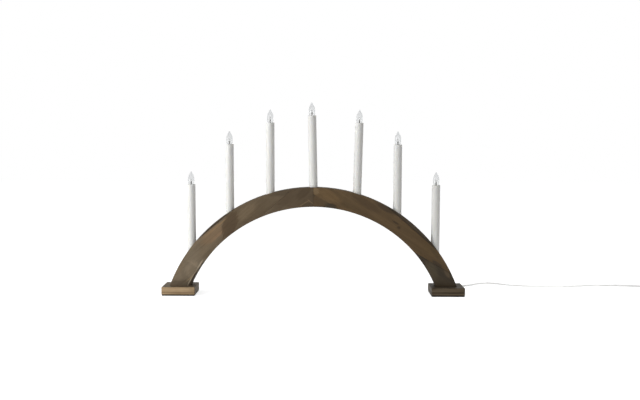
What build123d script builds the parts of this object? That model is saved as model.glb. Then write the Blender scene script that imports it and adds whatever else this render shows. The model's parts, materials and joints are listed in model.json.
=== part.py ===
from build123d import *
import math
import os

# Candle arch: a sawn wooden bow on two foot blocks, with seven electric candles wired in series.
# Millimetres. +Z up, +X to the right as seen from the front, the front faces -Y.
# The origin is on the table, under the middle of the arch.

# Bow
arch_outer_r = 332.0
arch_thickness = 42.0
arch_depth = 26.0
arch_rise = 214.0  # crown above the top of the feet

# Staves: straight glue lines, each square to a ray from the bow's centre, as shares of the leg's
# angle: the ray's own angle, and how far to each side of it the line meets the outer arc
right_inner_glue = (0.440, 0.502)
right_outer_glue = (0.606, 0.192)
left_inner_glue = (0.606, 0.495)
left_outer_glue = (0.591, 0.140)

# Feet
foot_width = 71.5
foot_depth = 60.0
foot_height = 15.5
foot_edge_r = 1.0
foot_offset = 1.6  # the block sits this much further out than the middle of the leg
pad_thickness = 3.5
pad_inset = 0.6

# Candles, from left to right
candle_share = (-0.9162, -0.6276, -0.3234, 0.0, 0.3234, 0.6276, 0.9162)  # of the leg's distance
seat_depth = (40.0, 30.0, 24.0, 22.0, 24.0, 30.0, 40.0)  # below the bow's top, at the candle's axis
candle_lean = (0.0, 0.0, 0.0, -1.2, 1.5, 0.0, 0.0)  # degrees to the right
sleeve_length = 175.0
sleeve_base_d = 18.6
sleeve_top_d = 17.8
sleeve_bore_d = 14.0
sleeve_seat_wall = 1.3  # wall round the lamp holder, at the top
sleeve_rim_r = 0.5
seat_clearance = 0.15

# Lamp holder, down from the sleeve's top
holder_top = -1.2
holder_length = 18.8
holder_clearance = 0.2
contact_bore_d = 6.4
shell_wall = 0.3
shell_top = -2.0
shell_length = 10.6
shell_fit = 0.1

# Lamp, from the sleeve's top
cap_root_r = 4.2
thread_depth = 0.45
thread_pitch = 1.814
thread_turns = 4
thread_clearance = 0.3
cap_wall = 0.45
cap_top = -2.2
cap_length = 9.3
cap_floor = 2.3  # insulating bottom of the cap
cap_chamfer = 0.8
thread_lead = 1.0  # plain collar above the thread
button_r = 1.6
button_length = 2.3
button_chamfer = 0.4
neck_clearance = 0.15
glass_wall = 0.6
base_r = 6.1  # foot of the bulb, just above the sleeve
base_z = 1.2
belly_r = 6.9
belly_z = 8.5
flame_r = 5.4  # where the flanks turn in to the point
flame_z = 19.0
point_r = 2.6
point_length = 4.1
tip_z = 28.5
tip_slope = 1.3  # rise of the flanks where they meet at the tip
stem_r = 1.6
stem_length = 13.5
filament_wire_d = 0.5
filament_span = 2.2
filament_top = 13.0
filament_bend_r = 0.4

# Centre contact, a folded leaf
leaf_thickness = 0.4
leaf_width = 3.0
leaf_length = 4.0
leaf_height = 5.8

# Wire groove in the rear face, its cover strip and the wires
groove_rise = 11.0  # middle of the groove above the bow's underside
groove_width = 8.0
groove_depth = 8.0
groove_left_end = 11.0  # above the foot
cover_thickness = 2.0
cover_width = 20.0
cover_shift = 2.0  # the strip's middle above the groove's
cover_end = 6.0  # above the foot
cover_clearance = 0.2
drop_hole_d = 9.0
drop_hole_y = 4.0
wire_d = 1.6
wire_y = 5.0
wire_spacing = 2.5  # each side of a candle's axis
link_wire_rise = 1.2  # above the groove's middle
return_wire_drop = 2.0  # below the groove's middle
wire_bend_r = 2.4
link_steps = 4  # runs of a link between two candles
return_steps = 24
corner_share = 0.45  # of the shorter run beside a corner, taken by its round

# Fasteners
dowel_d = 5.0
dowel_length = 36.0
dowel_y = -7.0
dowel_rise = (6.5, 14.5)  # above the bow's underside
screw_clearance = 0.15
slot_length_share = 0.62  # of the screw head's diameter
slot_width_share = 0.14
slot_depth_share = 0.3  # of the head's height
foot_screw_d = 4.0
foot_screw_head_d = 8.0
foot_screw_length = 40.0
foot_screw_y = -8.0
foot_screw_spacing = 18.0
cover_screw_d = 2.2
cover_screw_head_d = 4.6
cover_screw_length = 9.0
cover_screw_angles = (-50.0, -25.0, -8.0, 8.0, 25.0, 50.0)
cover_screw_rise = 7.0  # above the groove's middle

# Cord: pocket and outlet in the right foot
cord_d = 4.5
pocket_height = 9.0
pocket_depth = 26.0
pocket_margin = 4.0  # wood left beside the pocket
outlet_inset = 9.0  # outlet's axis in from the block's outer end
outlet_z = 8.2
relief_d = 7.5
relief_flange_d = 8.4
relief_flange_length = 1.5
relief_tip_d = 6.0
relief_out = 10.0
relief_tail = 9.0  # sheath inside the pocket
relief_clearance = 0.1
clamp_length = 4.0
clamp_wall = 2.2
clamp_floor = 1.4
clamp_inset = 1.0  # from the sheath's end
lead_z = 10.0  # height of the two leads across the pocket
return_z = 6.0
lead_bend_y = 9.0  # where the leads have turned towards the cord
lead_spacing = 1.1

# Coil of the put-away length, its tie and the plug
coil_right = 520.0  # coil's middle from the cord's outlet
coil_back = 69.0
coil_r = 33.0
coil_pitch = 5.0
turns_in = 6  # half turns
turns_out = 7
tail_length = 40.0
tail_end_share = 0.25  # level part at each end of the tail
tie_thickness = 1.2
tie_width = 7.0
tie_clearance = 0.6
plug_length = 36.0
plug_width = 35.0
plug_thickness = 14.0
plug_nose_width = 27.0
plug_tail_width = 12.0
plug_shoulder = 14.0  # where the body is widest, from the cord
plug_edge_r = 2.5
plug_rim_r = 2.0
pin_d = 4.0
pin_length = 19.0
pin_tip_r = 1.0
pin_spacing = 18.6

# Places worked out from the sizes above
arch_inner_r = arch_outer_r - arch_thickness
foot_top = pad_thickness + foot_height
crown_z = foot_top + arch_rise
arc_centre_z = crown_z - arch_outer_r
leg_outer_x = math.sqrt(arch_outer_r**2 - (foot_top - arc_centre_z) ** 2)
leg_inner_x = math.sqrt(arch_inner_r**2 - (foot_top - arc_centre_z) ** 2)
leg_x = (leg_outer_x + leg_inner_x) / 2
leg_angle = math.atan2(leg_x, foot_top - arc_centre_z)
foot_x = leg_x + foot_offset
candle_x = [share * leg_x for share in candle_share]
rear_y = arch_depth / 2
groove_r = arch_inner_r + groove_rise
cover_r = groove_r + cover_shift
sleeve_seat_r = sleeve_top_d / 2 - sleeve_seat_wall
holder_r = sleeve_seat_r - holder_clearance
thread_r = cap_root_r + thread_depth
shell_inner_r = thread_r + thread_clearance
shell_outer_r = shell_inner_r + shell_wall
cap_bore_r = cap_root_r - cap_wall
neck_r = cap_bore_r - neck_clearance
neck_bottom = cap_top - cap_length + cap_floor
button_bottom = cap_top - cap_length - button_length
foot_screw_offsets = (-foot_screw_spacing / 2, foot_screw_spacing / 2)
outlet_x = foot_x + foot_width / 2 - outlet_inset
back_y = foot_depth / 2
coil_x = outlet_x + coil_right
coil_y = back_y + coil_back
layer_step = coil_pitch
coil_z = cord_d / 2 + tie_thickness + tie_clearance
plug_z = plug_thickness / 2

os.makedirs("parts", exist_ok=True)


def save(builder, name):
    builder.part.label = name
    export_step(builder.part, f"parts/{name}.step")


def arc_z(radius, x):
    """Height of a circle about the bow's centre, at a distance x from the middle."""
    return arc_centre_z + math.sqrt(radius**2 - x**2)


def candle_frame(i):
    """The plane of a candle's seat, with the candle's axis as its normal."""
    lean = math.radians(candle_lean[i])
    seat = (candle_x[i], 0, arc_z(arch_outer_r, candle_x[i]) - seat_depth[i])
    return Plane(
        seat,
        x_dir=(math.cos(lean), 0, -math.sin(lean)),
        z_dir=(math.sin(lean), 0, math.cos(lean)),
    )


def lamp_frame(i):
    """The plane across the top of a candle's sleeve."""
    return candle_frame(i).offset(sleeve_length)


def turning_plane(frame):
    """The plane through a frame's axis, for profiles that are drawn as (radius, height)."""
    return Plane(frame.origin, x_dir=frame.x_dir, z_dir=-frame.y_dir)


def turning_axis(frame):
    return Axis(frame.origin, frame.z_dir)


def glue_plane(side, glue):
    ray_share, reach_share = glue
    ray_angle = ray_share * leg_angle
    ray = Vector(side * math.sin(ray_angle), 0, math.cos(ray_angle))
    middle = Vector(0, 0, arc_centre_z) + ray * (arch_outer_r * math.cos(reach_share * leg_angle))
    return Plane(middle, x_dir=(0, 1, 0), z_dir=ray)


def cover_screw_frame(angle):
    """The plane of a cover screw's head, flush with the rear face and looking into the wood."""
    turn = math.radians(angle)
    reach = groove_r + cover_screw_rise
    place = (reach * math.sin(turn), rear_y, arc_centre_z + reach * math.cos(turn))
    return Plane(place, x_dir=(1, 0, 0), z_dir=(0, -1, 0))


def foot_screw_frames(side):
    """The planes of a foot's screw heads, flush with the underside of the wood."""
    return [
        Plane((side * leg_x + offset, foot_screw_y, pad_thickness), z_dir=(0, 0, 1))
        for offset in foot_screw_offsets
    ]


def dowel_frames():
    return [
        Plane((0, dowel_y, arc_centre_z + arch_inner_r + rise), x_dir=(0, 1, 0), z_dir=(1, 0, 0))
        for rise in dowel_rise
    ]


# Bow: one stave, cut out of its half of the bow between two glue lines
def make_stave(side, above=None, below=None):
    groove_end = foot_top if side > 0 else foot_top + groove_left_end
    half = (side * arch_outer_r / 2, foot_top)
    upright = (Align.CENTER, Align.MIN)
    rear = Plane.XZ.offset(-rear_y)
    with BuildPart() as stave:
        with BuildSketch(Plane.XZ):
            with Locations((0, arc_centre_z)):
                Circle(arch_outer_r)
                Circle(arch_inner_r, mode=Mode.SUBTRACT)
            with Locations(half):
                Rectangle(arch_outer_r, arch_outer_r, align=upright, mode=Mode.INTERSECT)
        extrude(amount=rear_y, both=True)
        with BuildSketch(rear):
            with Locations((0, arc_centre_z)):
                Circle(groove_r + groove_width / 2)
                Circle(groove_r - groove_width / 2, mode=Mode.SUBTRACT)
            with Locations((half[0], groove_end)):
                Rectangle(arch_outer_r, arch_outer_r, align=upright, mode=Mode.INTERSECT)
        extrude(amount=cover_thickness + groove_depth, mode=Mode.SUBTRACT)
        with BuildSketch(rear):
            with Locations((0, arc_centre_z)):
                Circle(cover_r + cover_width / 2 + cover_clearance)
                Circle(cover_r - cover_width / 2 - cover_clearance, mode=Mode.SUBTRACT)
            with Locations((half[0], foot_top + cover_end - cover_clearance)):
                Rectangle(arch_outer_r, arch_outer_r, align=upright, mode=Mode.INTERSECT)
        extrude(amount=cover_thickness, mode=Mode.SUBTRACT)
        for i, x in enumerate(candle_x):
            if side * x < 0:
                continue
            seat = candle_frame(i)
            drop = seat.origin.Z - arc_z(groove_r, x)
            with Locations(seat):
                Cylinder(
                    sleeve_base_d / 2 + seat_clearance,
                    sleeve_length,
                    align=(Align.CENTER, Align.CENTER, Align.MIN),
                    mode=Mode.SUBTRACT,
                )
                with Locations((0, drop_hole_y, 0)):
                    Cylinder(
                        drop_hole_d / 2,
                        drop,
                        align=(Align.CENTER, Align.CENTER, Align.MAX),
                        mode=Mode.SUBTRACT,
                    )
        with Locations(*dowel_frames()):
            Cylinder(
                dowel_d / 2 + screw_clearance,
                dowel_length + 2 * screw_clearance,
                mode=Mode.SUBTRACT,
            )
        with Locations(*foot_screw_frames(side)):
            Cylinder(
                foot_screw_d / 2 + screw_clearance,
                foot_screw_length + screw_clearance,
                align=(Align.CENTER, Align.CENTER, Align.MIN),
                mode=Mode.SUBTRACT,
            )
        with Locations(*[cover_screw_frame(angle) for angle in cover_screw_angles if side * angle > 0]):
            Cylinder(
                cover_screw_d / 2 + screw_clearance,
                cover_screw_length + screw_clearance,
                align=(Align.CENTER, Align.CENTER, Align.MIN),
                mode=Mode.SUBTRACT,
            )
        if above is not None:
            split(bisect_by=glue_plane(side, above), keep=Keep.TOP)
        if below is not None:
            split(bisect_by=glue_plane(side, below), keep=Keep.BOTTOM)
    return stave


for half_name, half_side, inner_glue, outer_glue in (
    ("left", -1, left_inner_glue, left_outer_glue),
    ("right", 1, right_inner_glue, right_outer_glue),
):
    save(make_stave(half_side, below=inner_glue), f"arch_{half_name}_inner_stave")
    save(make_stave(half_side, above=inner_glue, below=outer_glue), f"arch_{half_name}_main_stave")
    save(make_stave(half_side, above=outer_glue), f"arch_{half_name}_outer_stave")

# Crown dowels
with BuildPart() as dowels:
    with Locations(*dowel_frames()):
        Cylinder(dowel_d / 2, dowel_length)
save(dowels, "crown_dowels")

# Cover strip over the wire groove
with BuildPart() as wire_cover:
    with BuildSketch(Plane.XZ.offset(-rear_y)):
        with Locations((0, arc_centre_z)):
            Circle(cover_r + cover_width / 2)
            Circle(cover_r - cover_width / 2, mode=Mode.SUBTRACT)
        with Locations((0, foot_top + cover_end)):
            Rectangle(
                2 * arch_outer_r, arch_outer_r, align=(Align.CENTER, Align.MIN), mode=Mode.INTERSECT
            )
    extrude(amount=cover_thickness)
    for angle in cover_screw_angles:
        with Locations(cover_screw_frame(angle)):
            Cone(
                cover_screw_head_d / 2 + screw_clearance,
                cover_screw_d / 2 + screw_clearance,
                cover_thickness,
                align=(Align.CENTER, Align.CENTER, Align.MIN),
                mode=Mode.SUBTRACT,
            )
save(wire_cover, "wire_cover")


# Countersunk wood screws, heads up to the plane they are given
def make_screws(frames, d, head_d, head_length, length):
    with BuildPart() as screws:
        for frame in frames:
            with Locations(frame):
                Cone(head_d / 2, d / 2, head_length, align=(Align.CENTER, Align.CENTER, Align.MIN))
                Cylinder(d / 2, length, align=(Align.CENTER, Align.CENTER, Align.MIN))
                Box(
                    head_d * slot_length_share,
                    head_d * slot_width_share,
                    head_length * slot_depth_share,
                    align=(Align.CENTER, Align.CENTER, Align.MIN),
                    mode=Mode.SUBTRACT,
                )
    return screws


foot_screw_head_length = (foot_screw_head_d - foot_screw_d) / 2
cover_screws = make_screws(
    [cover_screw_frame(angle) for angle in cover_screw_angles],
    cover_screw_d,
    cover_screw_head_d,
    cover_thickness,
    cover_screw_length,
)
save(cover_screws, "cover_screws")
foot_screws = make_screws(
    foot_screw_frames(-1) + foot_screw_frames(1),
    foot_screw_d,
    foot_screw_head_d,
    foot_screw_head_length,
    foot_screw_length,
)
save(foot_screws, "foot_screws")


# Feet and their pads
def make_foot(side):
    with BuildPart() as foot:
        with BuildSketch(Plane.XY.offset(pad_thickness)):
            with Locations((side * foot_x, 0)):
                Rectangle(foot_width, foot_depth)
        extrude(amount=foot_height)
        upper = edges().group_by(Axis.Z)[-1]
        fillet(upper + edges().filter_by(Axis.Z), foot_edge_r)
        for frame in foot_screw_frames(side):
            with Locations(frame):
                Cone(
                    foot_screw_head_d / 2 + screw_clearance,
                    foot_screw_d / 2 + screw_clearance,
                    foot_screw_head_length,
                    align=(Align.CENTER, Align.CENTER, Align.MIN),
                    mode=Mode.SUBTRACT,
                )
                Cylinder(
                    foot_screw_d / 2 + screw_clearance,
                    foot_height,
                    align=(Align.CENTER, Align.CENTER, Align.MIN),
                    mode=Mode.SUBTRACT,
                )
        if side > 0:
            pocket_left = leg_inner_x + pocket_margin
            pocket_right = foot_x + foot_width / 2 - pocket_margin
            pocket_middle = ((pocket_left + pocket_right) / 2, back_y - pocket_margin)
            with BuildSketch(Plane.XY.offset(pad_thickness)):
                with Locations(pocket_middle):
                    Rectangle(
                        pocket_right - pocket_left, pocket_depth, align=(Align.CENTER, Align.MAX)
                    )
            extrude(amount=pocket_height, mode=Mode.SUBTRACT)
            groove_x = math.sqrt(groove_r**2 - (foot_top - arc_centre_z) ** 2)
            with Locations((groove_x, wire_y, foot_top)):
                Cylinder(
                    drop_hole_d / 2,
                    foot_height,
                    align=(Align.CENTER, Align.CENTER, Align.MAX),
                    mode=Mode.SUBTRACT,
                )
            with BuildSketch(Plane.XZ.offset(-back_y)):
                with Locations((outlet_x, outlet_z)):
                    Circle(relief_d / 2 + relief_clearance)
                    Rectangle(
                        relief_d + 2 * relief_clearance,
                        outlet_z - pad_thickness,
                        align=(Align.CENTER, Align.MAX),
                    )
            extrude(amount=pocket_margin, mode=Mode.SUBTRACT)
    return foot


def make_pad(side):
    with BuildPart() as pad:
        with BuildSketch(Plane.XY):
            with Locations((side * foot_x, 0)):
                RectangleRounded(
                    foot_width - 2 * pad_inset, foot_depth - 2 * pad_inset, foot_edge_r
                )
        extrude(amount=pad_thickness)
    return pad


for foot_name, foot_side in (("left", -1), ("right", 1)):
    save(make_foot(foot_side), f"foot_{foot_name}")
    save(make_pad(foot_side), f"foot_pad_{foot_name}")


# Candle sleeves
def make_sleeve(i):
    frame = candle_frame(i)
    ledge = sleeve_length + holder_top - holder_length
    with BuildPart() as sleeve:
        with BuildSketch(turning_plane(frame)):
            with BuildLine():
                Polyline(
                    (sleeve_bore_d / 2, 0),
                    (sleeve_base_d / 2, 0),
                    (sleeve_top_d / 2, sleeve_length),
                    (sleeve_seat_r, sleeve_length),
                    (sleeve_seat_r, ledge),
                    (sleeve_bore_d / 2, ledge),
                    close=True,
                )
            make_face()
        revolve(axis=turning_axis(frame))
        rims = edges().filter_by(GeomType.CIRCLE).sort_by(turning_axis(frame))[-2:]
        fillet(rims.sort_by(SortBy.RADIUS)[-1], sleeve_rim_r)
    return sleeve


# Insulating lamp holders and their threaded shells, standing on the sleeves' ledges
with BuildPart() as lamp_holders:
    for i in range(len(candle_x)):
        with BuildSketch(turning_plane(lamp_frame(i))) as holder_profile:
            with BuildLine():
                Polyline(
                    (contact_bore_d / 2, holder_top - holder_length),
                    (holder_r, holder_top - holder_length),
                    (holder_r, holder_top),
                    (shell_outer_r + shell_fit, holder_top),
                    (shell_outer_r + shell_fit, shell_top - shell_length),
                    (contact_bore_d / 2, shell_top - shell_length),
                    close=True,
                )
            make_face()
        revolve(holder_profile.sketch, axis=turning_axis(lamp_frame(i)))
save(lamp_holders, "lamp_holders")

with BuildPart() as screw_shells:
    for i in range(len(candle_x)):
        with Locations(lamp_frame(i).offset(shell_top)):
            Cylinder(shell_outer_r, shell_length, align=(Align.CENTER, Align.CENTER, Align.MAX))
            Cylinder(
                shell_inner_r,
                shell_length,
                align=(Align.CENTER, Align.CENTER, Align.MAX),
                mode=Mode.SUBTRACT,
            )
save(screw_shells, "screw_shells")


# Centre contact: a leaf folded into a C, its upper limb under the lamp's button
def make_contact(i):
    frame = lamp_frame(i)
    left = -leaf_length / 2
    low = button_bottom - leaf_height
    with BuildPart() as contact:
        with BuildSketch(turning_plane(frame)):
            with Locations((left, button_bottom)):
                Rectangle(leaf_length, leaf_thickness, align=(Align.MIN, Align.MAX))
            with Locations((left, low)):
                Rectangle(leaf_length, leaf_thickness, align=(Align.MIN, Align.MIN))
                Rectangle(leaf_thickness, leaf_height, align=(Align.MIN, Align.MIN))
        extrude(amount=leaf_width / 2, both=True)
    return contact


# Lamp glass: a hollow flame-shaped bulb with its neck in the cap
def make_glass(i):
    frame = lamp_frame(i)

    def wall_line(inset):
        return (
            (neck_r - inset, cap_top),
            (base_r - inset, base_z),
            (belly_r - inset, belly_z),
            (flame_r - inset, flame_z),
            (point_r - inset, tip_z - point_length),
            (0, tip_z - inset),
        )

    with BuildPart() as glass:
        with BuildSketch(turning_plane(frame)):
            with BuildLine():
                Line((neck_r - glass_wall, neck_bottom), (neck_r, neck_bottom))
                Line((neck_r, neck_bottom), (neck_r, cap_top))
                Spline(*wall_line(0), tangents=((1, 1), (-1, tip_slope)))
                Line((0, tip_z), (0, tip_z - glass_wall))
                Spline(*wall_line(glass_wall), tangents=((1, 1), (-1, tip_slope)))
                Line((neck_r - glass_wall, cap_top), (neck_r - glass_wall, neck_bottom))
            make_face()
        revolve(axis=turning_axis(frame))
    return glass


# Lamp cap: a brass cup with thread rings, an insulating bottom and a contact button
def make_cap(i):
    frame = lamp_frame(i)
    bottom = cap_top - cap_length
    thread = []
    for ring in range(thread_turns):
        high = cap_top - thread_lead - ring * thread_pitch
        thread.append((cap_root_r, high))
        thread.append((thread_r, high - thread_pitch / 2))
    thread.append((cap_root_r, cap_top - thread_lead - thread_turns * thread_pitch))
    with BuildPart() as cap:
        with BuildSketch(turning_plane(frame)):
            with BuildLine():
                Polyline(
                    (0, neck_bottom),
                    (cap_bore_r, neck_bottom),
                    (cap_bore_r, cap_top),
                    (cap_root_r, cap_top),
                    *thread,
                    (cap_root_r, bottom + cap_chamfer),
                    (cap_root_r - cap_chamfer, bottom),
                    (button_r, bottom),
                    (button_r, button_bottom + button_chamfer),
                    (button_r - button_chamfer, button_bottom),
                    (0, button_bottom),
                    close=True,
                )
            make_face()
        revolve(axis=turning_axis(frame))
    return cap


# Lamp filament: a wire loop standing on its glass stem
def make_filament(i):
    frame = lamp_frame(i)
    half_span = filament_span / 2
    stem_top = neck_bottom + stem_length
    with BuildPart() as filament:
        with BuildLine(turning_plane(frame)) as loop:
            FilletPolyline(
                (-half_span, neck_bottom),
                (-half_span, filament_top - half_span),
                (0, filament_top),
                (half_span, filament_top - half_span),
                (half_span, neck_bottom),
                radius=filament_bend_r,
            )
        with BuildSketch(Plane(loop.line @ 0, z_dir=loop.line % 0)):
            Circle(filament_wire_d / 2)
        sweep(path=loop.line)
        with Locations(frame.offset(stem_top)):
            Cylinder(stem_r, stem_length, align=(Align.CENTER, Align.CENTER, Align.MAX))
    return filament


for i in range(len(candle_x)):
    save(make_sleeve(i), f"candle_sleeve_{i + 1}")
    save(make_contact(i), f"centre_contact_{i + 1}")
    save(make_glass(i), f"lamp_glass_{i + 1}")
    save(make_cap(i), f"lamp_cap_{i + 1}")
    save(make_filament(i), f"lamp_filament_{i + 1}")


# Wiring in series: a link from each candle to the next, a lead from the cord to the last candle
# and a return from the first candle, all in one plane of the groove
def candle_wire_top(i, side):
    top = sleeve_length + holder_top - holder_length
    return candle_frame(i).from_local_coords((side * wire_spacing, wire_y, top))


def groove_entry(i, side, radius):
    """Where a candle's wire meets the wire circle of this radius in the groove."""
    drop = arc_z(groove_r, candle_x[i]) - candle_frame(i).origin.Z
    x = candle_frame(i).from_local_coords((side * wire_spacing, wire_y, drop)).X
    return Vector(x, wire_y, arc_z(radius, x))


def along_groove(start_x, end_x, radius, steps):
    """Points on a wire circle strictly between two places, evenly spaced along it."""
    first = math.asin(start_x / radius)
    last = math.asin(end_x / radius)
    turns = [first + (last - first) * k / steps for k in range(1, steps)]
    return [Vector(radius * math.sin(t), wire_y, arc_centre_z + radius * math.cos(t)) for t in turns]


def corner_radii(points, largest=None):
    """The largest round that each corner's shorter run leaves room for, or less."""
    radii = []
    for before, corner, after in zip(points, points[1:], points[2:]):
        shorter = min((corner - before).length, (after - corner).length)
        half_turn = math.radians((corner - before).get_angle(after - corner)) / 2
        room = corner_share * shorter / math.tan(half_turn)
        radii.append(min(room, largest) if largest else room)
    return radii


link_r = groove_r + link_wire_rise
return_r = groove_r - return_wire_drop
relief_frame = Plane((outlet_x, back_y, outlet_z), x_dir=(1, 0, 0), z_dir=(0, 1, 0))
sheath_end_y = back_y - pocket_margin - relief_tail


def wire_routes():
    last = len(candle_x) - 1
    for i in range(last):
        down = groove_entry(i, 1, link_r)
        up = groove_entry(i + 1, -1, link_r)
        between = along_groove(down.X, up.X, link_r, link_steps)
        yield [candle_wire_top(i, 1), down, *between, up, candle_wire_top(i + 1, -1)]
    drop = foot_top - arc_centre_z
    down = groove_entry(last, 1, link_r)
    foot = Vector(math.sqrt(link_r**2 - drop**2), wire_y, foot_top)
    yield [
        candle_wire_top(last, 1),
        down,
        foot,
        Vector(foot.X, wire_y, lead_z),
        Vector(outlet_x - lead_spacing, wire_y, lead_z),
        Vector(outlet_x - lead_spacing, lead_bend_y, outlet_z),
        Vector(outlet_x - lead_spacing, sheath_end_y, outlet_z),
    ]
    up = groove_entry(0, -1, return_r)
    foot = Vector(math.sqrt(return_r**2 - drop**2), wire_y, foot_top)
    yield [
        candle_wire_top(0, -1),
        up,
        *along_groove(up.X, foot.X, return_r, return_steps),
        foot,
        Vector(foot.X, wire_y, return_z),
        Vector(outlet_x + lead_spacing, wire_y, return_z),
        Vector(outlet_x + lead_spacing, lead_bend_y, outlet_z),
        Vector(outlet_x + lead_spacing, sheath_end_y, outlet_z),
    ]


with BuildPart() as wiring:
    for route in wire_routes():
        with BuildLine() as wire_path:
            FilletPolyline(*route, radius=corner_radii(route, wire_bend_r))
        with BuildSketch(Plane(wire_path.line @ 0, z_dir=wire_path.line % 0)) as wire_section:
            Circle(wire_d / 2)
        sweep(wire_section.sketch, path=wire_path.line)
save(wiring, "wiring")

# Strain relief in the rear of the right foot: a flange, a tapered nose and the sheath's tail inside
with BuildPart() as cord_relief:
    with BuildSketch(turning_plane(relief_frame)):
        with BuildLine():
            Polyline(
                (0, -pocket_margin - relief_tail),
                (cord_d / 2, -pocket_margin - relief_tail),
                (cord_d / 2, -pocket_margin - relief_flange_length),
                (relief_flange_d / 2, -pocket_margin - relief_flange_length),
                (relief_flange_d / 2, -pocket_margin),
                (relief_d / 2, -pocket_margin),
                (relief_d / 2, 0),
                (relief_tip_d / 2, relief_out),
                (0, relief_out),
                close=True,
            )
        make_face()
    revolve(axis=turning_axis(relief_frame))
save(cord_relief, "cord_relief")

# Clamp over the sheath, hung from the pocket's ceiling
with BuildPart() as cord_clamp:
    clamp_low = outlet_z - cord_d / 2 - clamp_floor
    pocket_ceiling = pad_thickness + pocket_height
    slot_r = cord_d / 2 + relief_clearance
    with BuildSketch(Plane.XZ.offset(-sheath_end_y - clamp_inset)):
        with Locations((outlet_x, clamp_low)):
            Rectangle(
                cord_d + 2 * clamp_wall, pocket_ceiling - clamp_low, align=(Align.CENTER, Align.MIN)
            )
        with Locations((outlet_x, outlet_z)):
            Circle(slot_r, mode=Mode.SUBTRACT)
            Rectangle(
                2 * slot_r, pocket_height, align=(Align.CENTER, Align.MIN), mode=Mode.SUBTRACT
            )
    extrude(amount=-clamp_length)
save(cord_clamp, "cord_clamp")

# Mains cord on the table, from the strain relief to the coil
coil_start = Vector(coil_x - cord_d, coil_y - coil_r, coil_z)
floor_z = cord_d / 2


def behind_foot(right, back, height):
    """A place to the right of the cord's outlet and behind the foot."""
    return Vector(outlet_x + right, back_y + back, height)


cord_route = [
    behind_foot(0, relief_out, outlet_z),
    behind_foot(0, 20, outlet_z),
    behind_foot(4.5, 31, 6.6),
    behind_foot(14, 41.5, 4.2),
    behind_foot(30, 53, 2.5),
    behind_foot(47, 67.5, floor_z),
    behind_foot(65.5, 82.5, floor_z),
    behind_foot(89, 90.5, floor_z),
    behind_foot(111, 81.5, floor_z),
    behind_foot(132, 67, floor_z),
    behind_foot(166, 56, floor_z),
    behind_foot(214, 50, floor_z),
    behind_foot(274, 56, floor_z),
    behind_foot(334, 67, floor_z),
    behind_foot(390, 68, floor_z),
    behind_foot(441, 54, floor_z),
    behind_foot(483, coil_back - coil_r, coil_z),
    coil_start,
]
cord_radii = corner_radii(cord_route)
print("cord corner radii", [round(r) for r in cord_radii])
with BuildPart() as mains_cord:
    with BuildLine() as cord_path:
        FilletPolyline(*cord_route, radius=cord_radii)
    with BuildSketch(Plane(cord_path.line @ 0, z_dir=cord_path.line % 0)):
        Circle(cord_d / 2)
    sweep(path=cord_path.line)
save(mains_cord, "mains_cord")
cord_section = math.pi * cord_d**2 / 4
cord_length = cord_path.wire().length
cord_volume_share = mains_cord.part.volume / (cord_section * cord_length)
print("cord length", round(cord_length, 1), "volume share", round(cord_volume_share, 4))


# Coil: half turns inwards on the table, a climb in the innermost, then half turns outwards on top
def coil_half_turns():
    """Radius, start and end layer of each half turn."""
    inner_r = coil_r - turns_in * coil_pitch / 2
    for k in range(turns_in):
        yield coil_r - k * coil_pitch / 2, 0, 0
    yield inner_r, 0, 1
    for k in range(turns_out):
        yield inner_r + (k + 1) * coil_pitch / 2, 1, 1


with BuildPart() as cord_coil:
    with BuildLine() as coil_path:
        place = Vector(coil_x, coil_y - coil_r, coil_z)
        back_crossings = []
        Line(coil_start, place)
        way = 1
        for radius, layer, next_layer in coil_half_turns():
            rise = (next_layer - layer) * layer_step
            goal = place + Vector(0, way * 2 * radius, rise)
            middle = (place + goal) * 0.5
            if rise:
                quarter = middle + Vector(way * math.hypot(radius, rise / 2), 0, 0)
                climb = TangentArc(place, quarter, tangent=(way, 0, 0))
                TangentArc(quarter, goal, tangent=climb % 1)
            else:
                ThreePointArc(place, middle + Vector(way * radius, 0, 0), goal)
            if way > 0:
                back_crossings.append(goal)
            place = goal
            way = -way
        plug_end = Vector(coil_x + tail_length, place.Y, plug_z)
        tail = [
            place,
            place + Vector(tail_end_share * tail_length, 0, 0),
            plug_end - Vector(tail_end_share * tail_length, 0, 0),
            plug_end,
        ]
        FilletPolyline(*tail, radius=corner_radii(tail))
    with BuildSketch(Plane(coil_path.line @ 0, z_dir=coil_path.line % 0)):
        Circle(cord_d / 2)
    sweep(path=coil_path.line)
save(cord_coil, "cord_coil")
coil_length = coil_path.wire().length
coil_volume_share = cord_coil.part.volume / (cord_section * coil_length)
print("coil length", round(coil_length, 1), "volume share", round(coil_volume_share, 4))
print("cord in all", round(cord_length + coil_length, 1))


def least_gap(path, step, apart):
    """The least distance between points of a path that lie further apart along it, less its diameter."""
    count = int(path.length / step)
    points = [path @ (k / count) for k in range(count + 1)]
    far = int(apart / step)
    return min(
        (points[a] - points[b]).length
        for a in range(len(points))
        for b in range(a + far, len(points))
    ) - cord_d


print("coil's least gap", round(least_gap(coil_path.wire(), 2.0, 8 * cord_d), 2))

# Tie round the coil's turns, at its back
with BuildPart() as cord_tie:
    tie_low = min(p.Y for p in back_crossings) - cord_d / 2 - tie_clearance
    tie_high = max(p.Y for p in back_crossings) + cord_d / 2 + tie_clearance
    tie_top = coil_z + layer_step + cord_d / 2 + tie_clearance
    tie_middle = ((tie_low + tie_high) / 2, (tie_thickness + tie_top) / 2)
    inside = (tie_high - tie_low, tie_top - tie_thickness)
    outside = (inside[0] + 2 * tie_thickness, inside[1] + 2 * tie_thickness)
    with BuildSketch(Plane.YZ.offset(coil_x - tie_width / 2)):
        with Locations(tie_middle):
            RectangleRounded(*outside, 2 * tie_thickness)
            RectangleRounded(*inside, tie_thickness, mode=Mode.SUBTRACT)
    extrude(amount=tie_width)
save(cord_tie, "cord_tie")

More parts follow.
